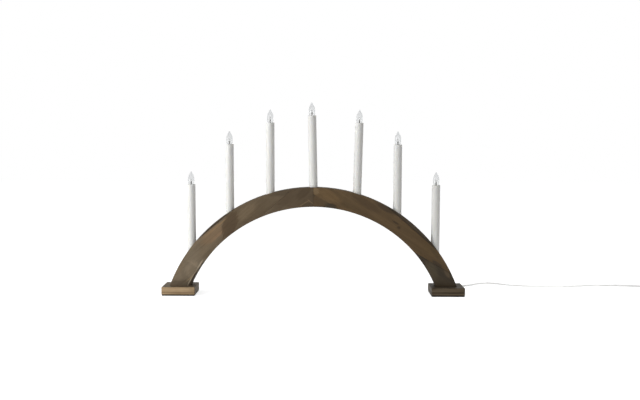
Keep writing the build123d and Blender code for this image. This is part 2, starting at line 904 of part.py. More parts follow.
# Flat two-pin plug beside the coil
nose_x = plug_end.X + plug_length
with BuildPart() as plug_body:
    with BuildSketch(Plane.XY):
        with BuildLine():
            Polyline(
                (plug_end.X, plug_end.Y - plug_tail_width / 2),
                (plug_end.X + plug_shoulder, plug_end.Y - plug_width / 2),
                (nose_x, plug_end.Y - plug_nose_width / 2),
                (nose_x, plug_end.Y + plug_nose_width / 2),
                (plug_end.X + plug_shoulder, plug_end.Y + plug_width / 2),
                (plug_end.X, plug_end.Y + plug_tail_width / 2),
                close=True,
            )
        make_face()
    extrude(amount=plug_thickness)
    fillet(edges().filter_by(Axis.Z), plug_edge_r)
    long_edges = edges().group_by(Axis.Z)[0] + edges().group_by(Axis.Z)[-1]
    fillet(long_edges, plug_rim_r)
save(plug_body, "plug_body")

with BuildPart() as plug_pins:
    for side in (-1, 1):
        pin_y = plug_end.Y + side * pin_spacing / 2
        with Locations(Plane((nose_x, pin_y, plug_z), x_dir=(0, 1, 0), z_dir=(1, 0, 0))):
            Cylinder(pin_d / 2, pin_length, align=(Align.CENTER, Align.CENTER, Align.MIN))
    fillet(edges().group_by(Axis.X)[-1], pin_tip_r)
save(plug_pins, "plug_pins")
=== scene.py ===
import json
import math

import bmesh
import bpy
from mathutils import Matrix, Vector, noise as value_noise


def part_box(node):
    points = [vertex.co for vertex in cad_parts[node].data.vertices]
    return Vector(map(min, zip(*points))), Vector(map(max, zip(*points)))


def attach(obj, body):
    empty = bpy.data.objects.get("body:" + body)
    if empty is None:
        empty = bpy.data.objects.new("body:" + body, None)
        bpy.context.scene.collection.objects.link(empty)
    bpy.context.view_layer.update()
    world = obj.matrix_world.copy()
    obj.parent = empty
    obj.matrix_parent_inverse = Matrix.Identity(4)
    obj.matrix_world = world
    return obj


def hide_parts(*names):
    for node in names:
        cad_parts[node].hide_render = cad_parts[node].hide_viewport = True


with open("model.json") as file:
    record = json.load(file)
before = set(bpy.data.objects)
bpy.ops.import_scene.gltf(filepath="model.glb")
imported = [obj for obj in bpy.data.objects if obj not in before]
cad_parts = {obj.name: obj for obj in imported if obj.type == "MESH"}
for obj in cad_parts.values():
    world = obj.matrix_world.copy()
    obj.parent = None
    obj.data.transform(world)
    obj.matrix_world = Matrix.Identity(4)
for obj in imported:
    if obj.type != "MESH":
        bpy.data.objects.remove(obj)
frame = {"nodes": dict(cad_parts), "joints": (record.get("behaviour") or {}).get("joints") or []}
nodes = frame["nodes"]
scene = bpy.context.scene
scene.view_settings.view_transform = "Standard"
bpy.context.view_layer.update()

# Sizes repeated from the part, in metres
ARCH_OUTER_R = 0.332
ARCH_INNER_R = 0.290
ARCH_HALF_DEPTH = 0.013
ARC_CENTRE_Z = -0.099
CANDLES = 7
OUTLET_X = 0.315965
BACK_Y = 0.030
OUTLET_Z = 0.0082
RELIEF_OUT = 0.010
CORD_D = 0.0045
COIL_X = OUTLET_X + 0.520
COIL_Y = BACK_Y + 0.069
COIL_R = 0.033
COIL_PITCH = 0.005
COIL_Z = 0.00405
LAYER_STEP = 0.005
TURNS_IN = 6
TURNS_OUT = 7
TAIL_LENGTH = 0.040
TAIL_LEVEL = 0.010
PLUG_Z = 0.007
PLUG_LENGTH = 0.036
PLUG_TAIL = Vector((0.0, 0.006))
PLUG_SHOULDER = Vector((0.014, 0.0175))
PIN_R = 0.002
PIN_Y = 0.0093

# Camera, at the photograph's viewing angle
CAMERA_PLACE = Vector((0.0206, -1.6434, 0.3415))
CAMERA_YAW = math.radians(0.231)
CAMERA_PITCH = math.radians(4.7515)
CAMERA_ROLL = math.radians(-0.199)
CAMERA_LENS = 43.02


def make_camera():
    side = Vector((math.cos(CAMERA_YAW), math.sin(CAMERA_YAW), 0))
    ahead = Vector((-math.sin(CAMERA_YAW), math.cos(CAMERA_YAW), 0))
    above = Vector((0, 0, 1))
    forward = math.cos(CAMERA_PITCH) * ahead - math.sin(CAMERA_PITCH) * above
    level_up = math.sin(CAMERA_PITCH) * ahead + math.cos(CAMERA_PITCH) * above
    right = math.cos(CAMERA_ROLL) * side - math.sin(CAMERA_ROLL) * level_up
    up = math.sin(CAMERA_ROLL) * side + math.cos(CAMERA_ROLL) * level_up
    data = bpy.data.cameras.new("camera")
    data.sensor_width = 36
    data.lens = CAMERA_LENS
    camera = bpy.data.objects.new("camera", data)
    scene.collection.objects.link(camera)
    matrix = Matrix((right, up, -forward)).transposed().to_4x4()
    matrix.translation = CAMERA_PLACE
    camera.matrix_world = matrix
    scene.camera = camera


make_camera()


# Shader helpers
def new_material(name):
    material = bpy.data.materials.new(name)
    material.use_nodes = True
    tree = material.node_tree
    return material, tree, tree.nodes["Principled BSDF"]


def add(tree, kind, **values):
    node = tree.nodes.new(kind)
    for key, value in values.items():
        setattr(node, key, value)
    return node


def put(tree, value, socket):
    """Links an output to a socket, or sets a plain value on it."""
    if isinstance(value, bpy.types.NodeSocket):
        tree.links.new(value, socket)
    else:
        socket.default_value = value


def math_node(tree, operation, a, b):
    node = add(tree, "ShaderNodeMath", operation=operation)
    put(tree, a, node.inputs[0])
    put(tree, b, node.inputs[1])
    return node.outputs[0]


def mapped(tree, scale, turn=0.0, shift=(0, 0, 0)):
    """Object coordinates turned about Y, moved and scaled for each axis."""
    place = add(tree, "ShaderNodeTexCoord").outputs["Object"]
    turned = add(tree, "ShaderNodeMapping", vector_type="POINT")
    tree.links.new(place, turned.inputs["Vector"])
    turned.inputs["Rotation"].default_value = (0, turn, 0)
    turned.inputs["Location"].default_value = shift
    sized = add(tree, "ShaderNodeMapping", vector_type="POINT")
    tree.links.new(turned.outputs[0], sized.inputs["Vector"])
    sized.inputs["Scale"].default_value = scale
    return sized.outputs[0]


def noise(tree, vector, scale, detail=3.0, roughness=0.55, distortion=0.0):
    node = add(tree, "ShaderNodeTexNoise")
    tree.links.new(vector, node.inputs["Vector"])
    node.inputs["Scale"].default_value = scale
    node.inputs["Detail"].default_value = detail
    node.inputs["Roughness"].default_value = roughness
    node.inputs["Distortion"].default_value = distortion
    return node.outputs["Fac"]


def spread(tree, value, low, high, to_low=0.0, to_high=1.0):
    node = add(tree, "ShaderNodeMapRange")
    tree.links.new(value, node.inputs["Value"])
    node.inputs["From Min"].default_value = low
    node.inputs["From Max"].default_value = high
    node.inputs["To Min"].default_value = to_low
    node.inputs["To Max"].default_value = to_high
    return node.outputs[0]


def mix_colours(tree, factor, a, b, blend="MIX"):
    node = add(tree, "ShaderNodeMix", data_type="RGBA", blend_type=blend)
    put(tree, factor, node.inputs["Factor"])
    put(tree, a, node.inputs["A"])
    put(tree, b, node.inputs["B"])
    return node.outputs["Result"]


def bump(tree, height, strength, distance):
    node = add(tree, "ShaderNodeBump")
    tree.links.new(height, node.inputs["Height"])
    node.inputs["Strength"].default_value = strength
    node.inputs["Distance"].default_value = distance
    return node.outputs["Normal"]


def srgb(r, g, b):
    """A colour written as it should show, 0 to 255, as a linear one."""
    def linear(c):
        c = c / 255
        return c / 12.92 if c <= 0.04045 else ((c + 0.055) / 1.055) ** 2.4

    return (linear(r), linear(g), linear(b), 1.0)


# Wood: patterns as features per metre along the grain, through the depth and across
BAND_SCALE = (1.2, 95.0, 42.75)
WANDER_SCALE = (3.0, 14.0, 14.0)
STREAK_SCALE = (7.0, 420.0, 420.0)
FIBRE_SCALE = (24.0, 1500.0, 1500.0)
PORE_SCALE = (90.0, 2600.0, 2600.0)
BLOTCH_SCALE = (16.0, 34.0, 34.0)
PATCH_SCALE = (60.0, 320.0, 320.0)
SEED_SHIFT = (0.31, 0.17, 0.23)
BAND_SWAY = 5.0
PORE_DEPTH = 0.6
PATCH_EDGE = 1.55
PATCH_RAGGED = 1.1
# Painted shade, multiplied into the colour of the bow's outer and inner arcs
ARC_PAINTED_SHADE = (0.47, 0.45, 0.43, 1)


def add_patch(tree, colour, patch, seed):
    """Tints an uneven ellipse, given by middle, half sizes, turn, tint, strength and softness."""
    (x, z), (long, across), turn, tint, strength, softness = patch
    place = add(tree, "ShaderNodeTexCoord").outputs["Object"]
    local = add(tree, "ShaderNodeMapping", vector_type="TEXTURE")
    tree.links.new(place, local.inputs["Vector"])
    local.inputs["Location"].default_value = (x, 0, z)
    local.inputs["Rotation"].default_value = (0, -turn, 0)
    local.inputs["Scale"].default_value = (long, 1.0, across)
    length = add(tree, "ShaderNodeVectorMath", operation="LENGTH")
    tree.links.new(local.outputs[0], length.inputs[0])
    frayed = mapped(tree, PATCH_SCALE, turn, (seed, seed, seed))
    ragged = noise(tree, frayed, 1.0, detail=4.0, roughness=0.65)
    uneven = math_node(tree, "MULTIPLY", ragged, PATCH_RAGGED)
    reach = math_node(tree, "ADD", length.outputs["Value"], uneven)
    inside = add(tree, "ShaderNodeMapRange", interpolation_type="SMOOTHSTEP")
    tree.links.new(reach, inside.inputs["Value"])
    inside.inputs["From Min"].default_value = PATCH_EDGE - softness
    inside.inputs["From Max"].default_value = PATCH_EDGE + softness
    inside.inputs["To Min"].default_value = strength
    inside.inputs["To Max"].default_value = 0.0
    return mix_colours(tree, inside.outputs[0], colour, tint)


def add_arc_painted_shade(tree, colour):
    """Paints shade into the colour of the bow's outer and inner arcs."""
    places = add(tree, "ShaderNodeTexCoord")
    from_centre = add(tree, "ShaderNodeVectorMath", operation="SUBTRACT")
    tree.links.new(places.outputs["Object"], from_centre.inputs[0])
    from_centre.inputs[1].default_value = (0, 0, ARC_CENTRE_Z)
    outward = add(tree, "ShaderNodeVectorMath", operation="NORMALIZE")
    tree.links.new(from_centre.outputs[0], outward.inputs[0])
    facing = add(tree, "ShaderNodeVectorMath", operation="DOT_PRODUCT")
    tree.links.new(outward.outputs[0], facing.inputs[0])
    tree.links.new(places.outputs["Normal"], facing.inputs[1])
    on_arc = spread(tree, math_node(tree, "ABSOLUTE", facing.outputs["Value"], 0.0), 0.5, 0.95)
    return mix_colours(tree, on_arc, colour, ARC_PAINTED_SHADE, "MULTIPLY")


def deepen_other_faces(tree, colour, painted_shade_tint):
    """Paints shade into the colour of every face but the front."""
    facing = add(tree, "ShaderNodeSeparateXYZ")
    tree.links.new(add(tree, "ShaderNodeTexCoord").outputs["Normal"], facing.inputs[0])
    not_front = spread(tree, facing.outputs["Y"], -0.9, -0.5)
    return mix_colours(tree, not_front, colour, painted_shade_tint, "MULTIPLY")


def make_wood(name, dark, light, turn, seed, patches=(), other_faces=None, gloss=0.22):
    """Stained wood: growth bands along the grain, streaks, fine fibres, pores and a blotchy stain.

    Given a tint for the other faces, painted shade darkens every face but the front by it; without
    one, painted shade darkens the arcs.
    """
    material, tree, shader = new_material(name)
    shift = tuple(step * seed for step in SEED_SHIFT)

    def pattern(scale, detail, roughness):
        return noise(tree, mapped(tree, scale, turn, shift), 1.0, detail, roughness)

    sway = math_node(tree, "MULTIPLY", pattern(WANDER_SCALE, 2.0, 0.5), BAND_SWAY)
    offset = add(tree, "ShaderNodeCombineXYZ")
    tree.links.new(sway, offset.inputs[1])
    tree.links.new(sway, offset.inputs[2])
    bent = add(tree, "ShaderNodeVectorMath", operation="ADD")
    tree.links.new(mapped(tree, BAND_SCALE, turn, shift), bent.inputs[0])
    tree.links.new(offset.outputs[0], bent.inputs[1])
    bands = noise(tree, bent.outputs[0], 1.0, detail=2.5, roughness=0.55, distortion=0.4)
    streaks = pattern(STREAK_SCALE, 2.0, 0.5)
    fibre = pattern(FIBRE_SCALE, 3.0, 0.6)
    pores = pattern(PORE_SCALE, 1.0, 0.5)
    blotch = pattern(BLOTCH_SCALE, 3.0, 0.55)
    colour = mix_colours(tree, spread(tree, bands, 0.33, 0.68), dark, light)
    for patch in patches:
        colour = add_patch(tree, colour, patch, seed)
    for mark, low, high, strength, tint in (
        (blotch, 0.36, 0.70, 0.40, (0.70, 0.66, 0.60, 1)),
        (streaks, 0.42, 0.72, 0.30, (0.66, 0.62, 0.56, 1)),
        (fibre, 0.35, 0.70, 0.36, (0.62, 0.58, 0.52, 1)),
        (pores, 0.62, 0.72, 0.45, (0.45, 0.40, 0.34, 1)),
    ):
        amount = spread(tree, mark, low, high, 0.0, strength)
        colour = mix_colours(tree, amount, colour, tint, "MULTIPLY")
    # On the feet, painted shade darkens every face but the front
    if other_faces:
        colour = deepen_other_faces(tree, colour, other_faces)
    else:
        # painted shade on the bow's outer and inner arcs
        colour = add_arc_painted_shade(tree, colour)
    rough = spread(tree, fibre, 0.3, 0.75, to_low=0.44, to_high=0.62)
    height = math_node(tree, "SUBTRACT", fibre, math_node(tree, "MULTIPLY", pores, PORE_DEPTH))
    grain = bump(tree, height, strength=0.25, distance=0.0002)
    tree.links.new(colour, shader.inputs["Base Color"])
    tree.links.new(rough, shader.inputs["Roughness"])
    tree.links.new(grain, shader.inputs["Normal"])
    shader.inputs["Specular IOR Level"].default_value = gloss
    return material


# Plastics, metals, felt and glass: patterns as features per metre
EVEN = (1, 1, 1)
MOTTLE_SCALE = 38.0
WAX_TINT = (1.0, 0.85, 0.65)
WAX_DEPTH = 0.003
TARNISH_SCALE = 260.0
DRAWN_UPRIGHT = (300.0, 300.0, 1500.0)
DRAWN_LEVEL = (1500.0, 300.0, 300.0)
MAT_SCALE = 1400.0
TUFT_SCALE = 420.0
RIPPLE_SCALE = 210.0
GLASS_BODY = (0.895, 0.90, 0.90, 1)
GLASS_TIP = (0.82, 0.825, 0.83, 1)
# Painted shade at the glass's edges as seen
GLASS_EDGE_PAINTED_SHADE = (0.79, 0.795, 0.80, 1)
GLASS_IOR = 1.04


def make_plastic(name, colour, shade, roughness, grain=900.0, waxy=0.0):
    """Moulded plastic: faint mottling, a fine moulded texture and uneven gloss."""
    material, tree, shader = new_material(name)
    cloud = noise(tree, mapped(tree, EVEN), MOTTLE_SCALE, detail=3.0, roughness=0.5)
    fine = noise(tree, mapped(tree, EVEN), grain, detail=2.0, roughness=0.5)
    mottled = mix_colours(tree, spread(tree, cloud, 0.3, 0.75), colour, shade)
    rough = spread(tree, cloud, 0.3, 0.75, to_low=roughness - 0.05, to_high=roughness + 0.06)
    texture = bump(tree, fine, strength=0.2, distance=0.00006)
    tree.links.new(mottled, shader.inputs["Base Color"])
    tree.links.new(rough, shader.inputs["Roughness"])
    tree.links.new(texture, shader.inputs["Normal"])
    if waxy:
        shader.inputs["Subsurface Weight"].default_value = waxy
        shader.inputs["Subsurface Radius"].default_value = WAX_TINT
        shader.inputs["Subsurface Scale"].default_value = WAX_DEPTH
    return material


def make_metal(name, colour, shade, roughness, stretch=DRAWN_UPRIGHT):
    """Drawn or turned metal: fine scratches one way and light tarnish."""
    material, tree, shader = new_material(name)
    tarnish = noise(tree, mapped(tree, EVEN), TARNISH_SCALE, detail=3.0, roughness=0.6)
    scratch = noise(tree, mapped(tree, stretch), 1.0, detail=3.0, roughness=0.6)
    tarnished = mix_colours(tree, spread(tree, tarnish, 0.35, 0.75), colour, shade)
    rough = spread(tree, scratch, 0.3, 0.7, to_low=roughness - 0.08, to_high=roughness + 0.12)
    scratched = bump(tree, scratch, strength=0.15, distance=0.00004)
    tree.links.new(tarnished, shader.inputs["Base Color"])
    tree.links.new(rough, shader.inputs["Roughness"])
    tree.links.new(scratched, shader.inputs["Normal"])
    shader.inputs["Metallic"].default_value = 1.0
    return material


def make_felt(name, colour, shade):
    """Pressed felt: matted fibres with lighter tufts and a soft sheen."""
    material, tree, shader = new_material(name)
    mat = noise(tree, mapped(tree, EVEN), MAT_SCALE, 5.0, 0.7, distortion=1.2)
    tuft = noise(tree, mapped(tree, (1, 1, 2.5)), TUFT_SCALE, 4.0, 0.65, distortion=2.0)
    tufted = mix_colours(tree, spread(tree, tuft, 0.3, 0.75), colour, shade)
    matted = bump(tree, math_node(tree, "ADD", mat, tuft), strength=0.9, distance=0.0005)
    tree.links.new(tufted, shader.inputs["Base Color"])
    tree.links.new(matted, shader.inputs["Normal"])
    shader.inputs["Roughness"].default_value = 0.95
    shader.inputs["Sheen Weight"].default_value = 0.2
    shader.inputs["Sheen Roughness"].default_value = 0.6
    return material


def make_glass(name):
    """Thin drawn bulb glass, greyer towards the tip, with painted shade where it is seen edge on,
    and faint ripples.
    """
    material, tree, shader = new_material(name)
    edge = add(tree, "ShaderNodeLayerWeight")
    edge.inputs["Blend"].default_value = 0.4
    height = add(tree, "ShaderNodeSeparateXYZ")
    tree.links.new(add(tree, "ShaderNodeTexCoord").outputs["Generated"], height.inputs[0])
    near_tip = spread(tree, height.outputs["Z"], 0.4, 0.95)
    body = mix_colours(tree, near_tip, GLASS_BODY, GLASS_TIP)
    # painted shade where the glass is seen edge on
    tinted = mix_colours(tree, edge.outputs["Facing"], body, GLASS_EDGE_PAINTED_SHADE)
    ripple = noise(tree, mapped(tree, (1, 1, 0.4)), RIPPLE_SCALE, detail=2.0, roughness=0.5)
    rough = spread(tree, ripple, 0.3, 0.7, to_low=0.0, to_high=0.015)
    rippled = bump(tree, ripple, strength=0.012, distance=0.0002)
    tree.links.new(tinted, shader.inputs["Base Color"])
    tree.links.new(rough, shader.inputs["Roughness"])
    tree.links.new(rippled, shader.inputs["Normal"])
    shader.inputs["Transmission Weight"].default_value = 0.98
    shader.inputs["IOR"].default_value = GLASS_IOR
    shader.inputs["Coat Weight"].default_value = 0.2
    shader.inputs["Coat Roughness"].default_value = 0.03
    return material


# Stains on the staves and feet, with painted shade, highlights and sheen among them, as add_patch
# takes them
LEFT_GRAIN = math.radians(41)
RIGHT_GRAIN = math.radians(-33)
STEEP_GRAIN = math.radians(68)
FOOT_GRAIN = 0.02
FOOT_GLOSS = 0.08
KNOT_BROWN = srgb(52, 39, 24)
LIGHT_STREAK = srgb(161, 135, 99)
# A painted highlight along the left leg's inner edge
EDGE_PAINTED_HIGHLIGHT = srgb(200, 186, 162)
# A dark strip along the left leg's inner edge, beside the pale line
DARK_EDGE_STRIP = srgb(58, 47, 35)
# Painted shade low on the legs, where they meet the feet
LEG_FOOT_PAINTED_SHADE = ((-0.283, 0.0245), (0.032, 0.0065), 0.0, srgb(84, 73, 58), 0.50, 0.40)
LEFT_PATCHES = [
    ((-0.125, 0.190), (0.075, 0.034), math.radians(25), srgb(99, 83, 61), 0.60, 0.45),
    ((-0.216, 0.131), (0.030, 0.0120), LEFT_GRAIN, srgb(152, 124, 94), 0.50, 0.30),
    ((-0.205, 0.128), (0.022, 0.0030), LEFT_GRAIN, srgb(156, 124, 93), 0.30, 0.40),
    ((-0.068, 0.2215), (0.024, 0.0065), math.radians(12), srgb(84, 71, 54), 0.65, 0.40),
    ((-0.179, 0.153), (0.030, 0.0145), STEEP_GRAIN, srgb(90, 72, 51), 0.80, 0.16),
    ((-0.143, 0.180), (0.024, 0.011), LEFT_GRAIN, srgb(133, 115, 90), 0.60, 0.35),
    ((-0.211, 0.1445), (0.034, 0.0016), LEFT_GRAIN, srgb(153, 125, 90), 0.75, 0.30),
    # Pale grey patches low on the left leg: lighter wood with painted sheen
    ((-0.262, 0.075), (0.030, 0.016), STEEP_GRAIN, srgb(131, 118, 99), 0.55, 0.45),
    ((-0.266, 0.051), (0.042, 0.013), LEFT_GRAIN, srgb(142, 128, 108), 0.70, 0.45),
    ((-0.2625, 0.0525), (0.017, 0.0115), STEEP_GRAIN, srgb(172, 155, 131), 0.80, 0.50),
    # painted shade where the leg meets the foot
    LEG_FOOT_PAINTED_SHADE,
    ((-0.2425, 0.0614), (0.014, 0.0014), math.radians(56.5), DARK_EDGE_STRIP, 0.80, 0.25),
    # painted highlight along the inner edge
    ((-0.2484, 0.0592), (0.020, 0.0011), math.radians(58), EDGE_PAINTED_HIGHLIGHT, 0.80, 0.30),
]
CROWN_PATCHES = [
    ((-0.030, 0.212), (0.060, 0.030), 0.0, srgb(92, 76, 56), 0.80, 0.45),
    ((-0.020, 0.1985), (0.012, 0.0012), math.radians(32), LIGHT_STREAK, 0.38, 0.40),
    ((-0.004, 0.2000), (0.010, 0.0012), math.radians(-40), LIGHT_STREAK, 0.38, 0.40),
    ((-0.010, 0.1950), (0.012, 0.0050), 0.0, KNOT_BROWN, 0.32, 0.30),
    ((-0.022, 0.2200), (0.018, 0.0080), LEFT_GRAIN, srgb(75, 59, 39), 0.55, 0.30),
]
LEG_PATCHES = [
    # Pale grey patch low on the left leg: lighter wood with painted sheen
    ((-0.272, 0.0480), (0.045, 0.0300), STEEP_GRAIN, srgb(135, 123, 103), 0.60, 0.45),
    ((-0.262, 0.0410), (0.034, 0.0024), LEFT_GRAIN, srgb(178, 153, 116), 0.60, 0.30),
    ((-0.262, 0.0270), (0.020, 0.0040), STEEP_GRAIN, srgb(75, 62, 47), 0.60, 0.35),
    # painted shade where the leg meets the foot
    LEG_FOOT_PAINTED_SHADE,
    ((-0.2586, 0.0356), (0.024, 0.0022), math.radians(62), DARK_EDGE_STRIP, 0.90, 0.25),
    # painted highlight along the inner edge
    ((-0.2608, 0.0397), (0.023, 0.0010), math.radians(61), EDGE_PAINTED_HIGHLIGHT, 0.72, 0.30),
]
RIGHT_PATCHES = [
    ((0.030, 0.219), (0.032, 0.0095), RIGHT_GRAIN, srgb(120, 96, 64), 0.70, 0.25),
    ((0.176, 0.158), (0.008, 0.0022), RIGHT_GRAIN, KNOT_BROWN, 0.60, 0.30),
    ((0.183, 0.147), (0.004, 0.0030), RIGHT_GRAIN, KNOT_BROWN, 0.60, 0.30),
    ((0.196, 0.168), (0.016, 0.0075), RIGHT_GRAIN, srgb(80, 58, 43), 0.60, 0.35),
    ((0.157, 0.187), (0.026, 0.0055), math.radians(-29), srgb(62, 50, 37), 0.65, 0.40),
    ((0.262, 0.0925), (0.018, 0.0045), math.radians(-54), srgb(66, 54, 38), 0.60, 0.40),
    ((0.115, 0.198), (0.034, 0.0080), RIGHT_GRAIN, srgb(77, 59, 39), 0.50, 0.35),
    ((0.255, 0.098), (0.024, 0.0090), RIGHT_GRAIN, srgb(103, 84, 54), 0.55, 0.35),
    ((0.2665, 0.0691), (0.013, 0.0038), math.radians(-35), srgb(68, 56, 41), 0.90, 0.25),
    ((0.0416, 0.1949), (0.008, 0.0030), math.radians(-20), srgb(58, 46, 31), 0.80, 0.30),
    ((0.0055, 0.2245), (0.007, 0.0060), RIGHT_GRAIN, srgb(152, 129, 96), 0.50, 0.45),
]
FOOT_LEFT_PATCHES = [
    ((-0.289, 0.0072), (0.060, 0.0007), 0.0, srgb(112, 92, 69), 0.55, 0.30),
    ((-0.310, 0.0125), (0.016, 0.0045), 0.0, srgb(211, 183, 146), 0.45, 0.40),
    ((-0.268, 0.0125), (0.010, 0.0060), 0.0, srgb(146, 127, 103), 0.25, 0.40),
    ((-0.278, 0.0130), (0.018, 0.0040), 0.0, srgb(214, 187, 150), 0.50, 0.40),
]
FOOT_RIGHT_PATCHES = [
    ((0.277, 0.0125), (0.028, 0.0050), 0.0, srgb(122, 109, 90), 0.60, 0.40),
    ((0.289, 0.0090), (0.060, 0.0010), 0.0, srgb(46, 38, 30), 0.85, 0.30),
    ((0.289, 0.0060), (0.060, 0.0008), 0.0, srgb(120, 105, 86), 0.60, 0.30),
    ((0.300, 0.0140), (0.014, 0.0030), 0.0, srgb(108, 95, 77), 0.50, 0.40),
]
RIGHT_INNER_PATCHES = [
    ((0.010, 0.203), (0.021, 0.0130), 0.0, srgb(101, 81, 55), 0.85, 0.30),
    ((0.255, 0.0560), (0.020, 0.0100), math.radians(-60), srgb(90, 80, 62), 0.65, 0.45),
    ((0.2884, 0.0485), (0.011, 0.0042), math.radians(-62), srgb(98, 83, 63), 0.75, 0.35),
]

wood = {}


def stain(piece, dark, light, turn, seed, **finish):
    wood[piece] = make_wood(f"wood_{piece}", srgb(*dark), srgb(*light), turn, seed, **finish)


LEFT_INNER_PATCHES = CROWN_PATCHES + LEG_PATCHES
# The left staves are written lighter and greyer than the right: their own tone with painted sheen
# from the key on the left
stain("left_main", (105, 91, 71), (135, 119, 96), LEFT_GRAIN, 1, patches=LEFT_PATCHES)
stain("left_inner", (101, 87, 68), (127, 111, 88), LEFT_GRAIN, 2, patches=LEFT_INNER_PATCHES)
stain("left_outer", (60, 51, 39), (82, 69, 53), LEFT_GRAIN, 3)
stain("right_main", (89, 71, 46), (113, 91, 62), RIGHT_GRAIN, 4, patches=RIGHT_PATCHES)
stain("right_inner", (58, 49, 36), (80, 69, 52), RIGHT_GRAIN, 5, patches=RIGHT_INNER_PATCHES)
stain("right_outer", (62, 51, 38), (82, 68, 51), RIGHT_GRAIN, 6)
# The left foot is written lighter than the right: its stained wood with painted light from the key
# on the left
stain(
    "foot_left",
    (153, 129, 98),
    (204, 177, 142),
    FOOT_GRAIN,
    7,
    patches=FOOT_LEFT_PATCHES,
    # painted shade on the foot's top, sides and back
    other_faces=(0.32, 0.34, 0.36, 1),
    gloss=FOOT_GLOSS,
)
# The right foot is written darker than the left: its stained wood with painted shade, away from the
# key
stain(
    "foot_right",
    (77, 67, 53),
    (112, 99, 82),
    -FOOT_GRAIN,
    8,
    patches=FOOT_RIGHT_PATCHES,
    # painted shade on the foot's top, sides and back
    other_faces=(0.50, 0.52, 0.52, 1),
    gloss=FOOT_GLOSS,
)
stain("cover", (84, 69, 49), (116, 98, 74), 0.0, 9)
stain("dowel", (176, 143, 100), (208, 178, 134), 0.0, 10)

# Other finishes: colour, shade and roughness, then the grain where it differs
sleeve_plastic = make_plastic(
    "sleeve_plastic", srgb(245, 244, 240), srgb(241, 240, 235), 0.42, waxy=0.15
)
holder_plastic = make_plastic("holder_plastic", srgb(226, 224, 216), srgb(214, 211, 202), 0.5)
cord_vinyl = make_plastic("cord_vinyl", srgb(248, 248, 247), srgb(242, 242, 240), 0.38, 700.0)
tie_plastic = make_plastic("tie_plastic", srgb(222, 222, 218), srgb(206, 206, 202), 0.45, 500.0)
plug_plastic = make_plastic("plug_plastic", srgb(238, 238, 233), srgb(229, 229, 223), 0.36, 1100.0)
wire_insulation = make_plastic("wire_insulation", srgb(228, 226, 217), srgb(214, 212, 202), 0.4)
brass = make_metal("lamp_brass", srgb(214, 184, 118), srgb(178, 146, 84), 0.3)
contact_brass = make_metal("contact_brass", srgb(218, 190, 126), srgb(188, 156, 94), 0.28)
steel = make_metal("screw_steel", srgb(196, 196, 192), srgb(150, 149, 144), 0.34)
pin_metal = make_metal(
    "pin_metal", srgb(206, 202, 190), srgb(176, 172, 160), 0.24, stretch=DRAWN_LEVEL
)
filament_metal = make_metal("filament_metal", srgb(120, 119, 118), srgb(84, 83, 83), 0.4)
stem_glass = make_plastic("stem_glass", srgb(108, 107, 104), srgb(84, 83, 81), 0.2, 600.0)
felt = make_felt("pad_felt", srgb(36, 33, 27), srgb(57, 52, 43))
bulb_glass = make_glass("lamp_glass")

# Pieces: finishes of CAD nodes, and new meshes in the frame
SHARP_ANGLE = math.radians(32)


def dress(name, material):
    """Gives a CAD node its finish."""
    mesh = nodes[name].data
    mesh.materials.clear()
    mesh.materials.append(material)


def link_mesh(name, data, material, body):
    """A new piece from a bmesh, riding on a body and given its finish."""
    mesh = bpy.data.meshes.new(name)
    bmesh.ops.recalc_face_normals(data, faces=data.faces)
    data.to_mesh(mesh)
    data.free()
    mesh.materials.append(material)
    piece = bpy.data.objects.new(name, mesh)
    scene.collection.objects.link(piece)
    for face in mesh.polygons:
        face.use_smooth = True
    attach(piece, body)
    return piece


def shade_by_angle(piece):
    piece.data.set_sharp_from_angle(angle=SHARP_ANGLE)


# Mesh helpers
def add_tube(data, points, radii, sides=8, material_index=0):
    """A closed round tube along points, with a radius at each of them."""
    turns = [2 * math.pi * n / sides for n in range(sides)]
    rings = []
    across = None
    for k, (place, radius) in enumerate(zip(points, radii)):
        ahead = points[min(k + 1, len(points) - 1)] - points[max(k - 1, 0)]
        ahead.normalize()
        if across is None:
            across = ahead.orthogonal().normalized()
        across = (across - ahead * across.dot(ahead)).normalized()
        other = ahead.cross(across)
        spokes = [across * math.cos(turn) + other * math.sin(turn) for turn in turns]
        rings.append([data.verts.new(place + radius * spoke) for spoke in spokes])
    join_rings(data, rings, material_index)


def join_rings(data, rings, material_index=0):
    """Skins a row of rings of vertices and closes both ends."""
    faces = []
    sides = len(rings[0])
    for low, high in zip(rings, rings[1:]):
        for n in range(sides):
            m = (n + 1) % sides
            faces.append(data.faces.new((low[n], low[m], high[m], high[n])))
    faces.append(data.faces.new(list(reversed(rings[0]))))
    faces.append(data.faces.new(rings[-1]))
    for face in faces:
        face.material_index = material_index


def add_lathe(data, profile, sides=32, material_index=0, place=Matrix()):
    """A turned solid from pairs of radius and height, about Z or wherever place moves that axis."""
    turns = [2 * math.pi * n / sides for n in range(sides)]
    rings = []
    for radius, height in profile:
        ring = [Vector((radius * math.cos(t), radius * math.sin(t), height)) for t in turns]
        rings.append([data.verts.new(place @ spot) for spot in ring])
    join_rings(data, rings, material_index)


# Mains cord: the route of the part's cord, then the turns of its coil, as one smooth line
FLOOR_Z = CORD_D / 2
HALF_TURN_POINTS = 12
CORD_CURVE_STEPS = 6
CORD_ROUND_STEPS = 5
